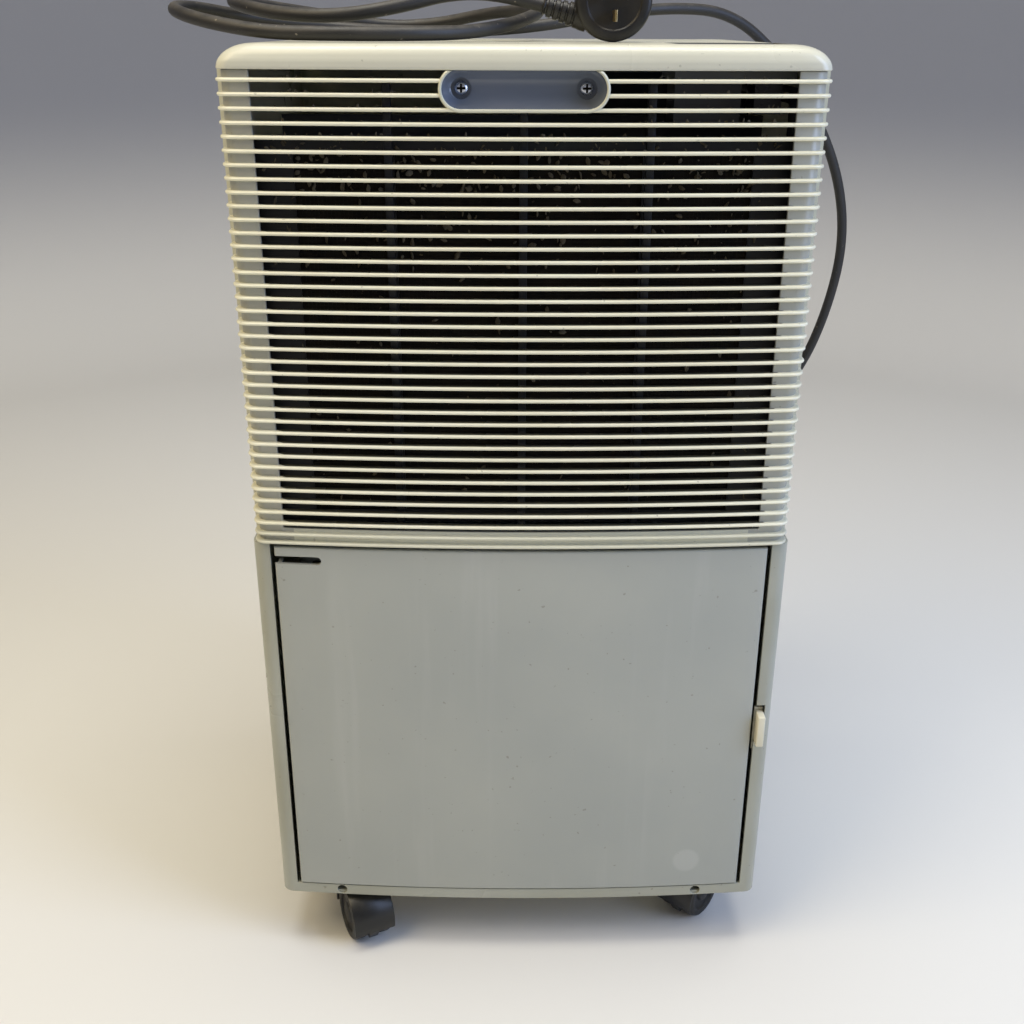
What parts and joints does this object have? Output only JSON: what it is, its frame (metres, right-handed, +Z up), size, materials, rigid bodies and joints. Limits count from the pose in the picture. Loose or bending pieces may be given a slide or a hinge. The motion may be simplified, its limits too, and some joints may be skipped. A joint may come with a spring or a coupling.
{
  "type": "dehumidifier",
  "caption": "Domestic dehumidifier on castors: slatted air intake above, slide-out water tank behind a plain panel below, mains lead looped on the lid.",
  "frame": {"origin": "on the floor under the middle of the body, where the castors stand", "axes": "+Z up, -Y is the front with the intake and the tank, +X is to the right seen from the front"},
  "size_m": [0.5005, 0.3997, 0.66],
  "materials": {
    "cream_abs": "moulded ABS aged to cream, satin",
    "grey_panel": "satin grey",
    "tab_abs": "moulded ABS",
    "tank_plastic": "milky polypropylene",
    "handle_plastic": "moulded",
    "float_foam": "expanded foam",
    "zinc_screw": "zinc plated",
    "dark_screw": "blackened",
    "base_steel": "galvanised sheet",
    "control_plastic": "fine grain",
    "knob_plastic": "satin",
    "switch_plastic": "moulded",
    "lamp_lens": "green lens",
    "switch_leaf": "spring steel",
    "drip_plastic": "moulded",
    "filter_plastic": "moulded",
    "filter_cloth": "woven mesh with dust",
    "fan_plastic": "moulded",
    "shaft_steel": "ground",
    "motor_steel": "painted",
    "outlet_plastic": "moulded ABS",
    "compressor_paint": "black enamel",
    "mount_rubber": "moulded",
    "copper": "drawn copper",
    "fin_aluminium": "rolled",
    "box_plastic": "moulded",
    "capacitor_can": "drawn",
    "lead_sheath": "dusty PVC sheath",
    "plug_black": "moulded",
    "pin_brass": "nickelled",
    "castor_black": "moulded nylon",
    "wheel_black": "moulded nylon"
  },
  "bodies": {
    "root": {"cabinet": "cream_abs", "top_cap": "cream_abs", "front_grille": "cream_abs", "grille_screws": "zinc_screw", "front_frame": "cream_abs", "frame_screws": "dark_screw", "base_pan": "base_steel", "control_panel": "control_plastic", "humidistat": "switch_plastic", "switch_body": "switch_plastic", "running_lamp": "lamp_lens", "partition": "base_steel", "tank_switch": "switch_plastic", "drip_tray": "drip_plastic", "filter_frame": "filter_plastic", "filter_mesh": "filter_cloth", "fan_shroud": "base_steel", "fan_motor": "motor_steel", "motor_bracket": "base_steel", "outlet_grille": "outlet_plastic", "compressor": "compressor_paint", "compressor_mounts": "mount_rubber", "suction_line": "copper", "discharge_line": "copper", "filter_drier": "copper", "capillary_tube": "copper", "electrical_box": "box_plastic", "run_capacitor": "capacitor_can", "evaporator_fins": "fin_aluminium", "evaporator_tube": "copper", "condenser_fins": "fin_aluminium", "condenser_tube": "copper", "cord_gland": "plug_black", "mains_lead": "lead_sheath", "plug_body": "plug_black", "plug_pins": "pin_brass"},
    "tank": {"tank_front": "grey_panel", "water_tank": "tank_plastic", "float_pin": "dark_screw"},
    "handle": {"tank_handle": "handle_plastic"},
    "float": {"tank_float": "float_foam"},
    "latch": {"tank_latch": "tab_abs"},
    "switch_lever": {"tank_switch_lever": "switch_leaf"},
    "fan": {"fan_blade": "fan_plastic", "fan_shaft": "shaft_steel"},
    "knob": {"humidistat_knob": "knob_plastic"},
    "rocker": {"power_rocker": "switch_plastic"},
    "castor_front_left": {"castor_fork_front_left": "castor_black", "castor_axle_front_left": "shaft_steel"},
    "wheels_front_left": {"castor_wheels_front_left": "wheel_black"},
    "castor_front_right": {"castor_fork_front_right": "castor_black", "castor_axle_front_right": "shaft_steel"},
    "wheels_front_right": {"castor_wheels_front_right": "wheel_black"},
    "castor_rear_left": {"castor_fork_rear_left": "castor_black", "castor_axle_rear_left": "shaft_steel"},
    "wheels_rear_left": {"castor_wheels_rear_left": "wheel_black"},
    "castor_rear_right": {"castor_fork_rear_right": "castor_black", "castor_axle_rear_right": "shaft_steel"},
    "wheels_rear_right": {"castor_wheels_rear_right": "wheel_black"}
  },
  "joints": [
    {"name": "tank_slide", "type": "slide", "parent": "root", "child": "tank", "axis": [0, -1, 0], "range_m": [0, 0.15]},
    {"name": "handle_swing", "type": "hinge", "parent": "tank", "child": "handle", "pos_m": [0, -0.082, 0.2419], "axis": [1, 0, 0], "range_deg": [0, 74]},
    {"name": "float_rise", "type": "hinge", "parent": "tank", "child": "float", "pos_m": [0.128, -0.082, 0.2169], "axis": [0, 1, 0], "range_deg": [0, 24]},
    {"name": "latch_lift", "type": "slide", "parent": "root", "child": "latch", "axis": [0, 0, 1], "range_m": [0, 0.005]},
    {"name": "tank_switch_press", "type": "hinge", "parent": "root", "child": "switch_lever", "pos_m": [-0.1, -0.0194, 0.168], "axis": [1, 0, 0], "range_deg": [0, 3], "stiffness_Nm_per_rad": 0.02},
    {"name": "fan_spin", "type": "hinge", "parent": "root", "child": "fan", "pos_m": [0, -0.042, 0.446], "axis": [0, 1, 0], "continuous": true},
    {"name": "humidistat_turn", "type": "hinge", "parent": "root", "child": "knob", "pos_m": [0.105, -0.088, 0.597], "axis": [0, 0, -1], "range_deg": [0, 270]},
    {"name": "power_rock", "type": "hinge", "parent": "root", "child": "rocker", "pos_m": [0.138, -0.1, 0.596], "axis": [1, 0, 0], "range_deg": [0, 20]},
    {"name": "swivel_front_left", "type": "hinge", "parent": "root", "child": "castor_front_left", "pos_m": [-0.12, -0.11, 0.0465], "axis": [0, 0, 1], "continuous": true},
    {"name": "roll_front_left", "type": "hinge", "parent": "castor_front_left", "child": "wheels_front_left", "pos_m": [-0.11324, -0.1245, 0.02], "axis": [0.9063, 0.4226, 0], "continuous": true},
    {"name": "swivel_front_right", "type": "hinge", "parent": "root", "child": "castor_front_right", "pos_m": [0.12, -0.11, 0.0465], "axis": [0, 0, 1], "continuous": true},
    {"name": "roll_front_right", "type": "hinge", "parent": "castor_front_right", "child": "wheels_front_right", "pos_m": [0.13029, -0.09774, 0.02], "axis": [-0.766, 0.6428, 0], "continuous": true},
    {"name": "swivel_rear_left", "type": "hinge", "parent": "root", "child": "castor_rear_left", "pos_m": [-0.12, 0.11, 0.0465], "axis": [0, 0, 1], "continuous": true},
    {"name": "roll_rear_left", "type": "hinge", "parent": "castor_rear_left", "child": "wheels_rear_left", "pos_m": [-0.12676, 0.1245, 0.02], "axis": [-0.9063, -0.4226, 0], "continuous": true},
    {"name": "swivel_rear_right", "type": "hinge", "parent": "root", "child": "castor_rear_right", "pos_m": [0.12, 0.11, 0.0465], "axis": [0, 0, 1], "continuous": true},
    {"name": "roll_rear_right", "type": "hinge", "parent": "castor_rear_right", "child": "wheels_rear_right", "pos_m": [0.12547, 0.12504, 0.02], "axis": [-0.9397, 0.342, 0], "continuous": true}
  ]
}
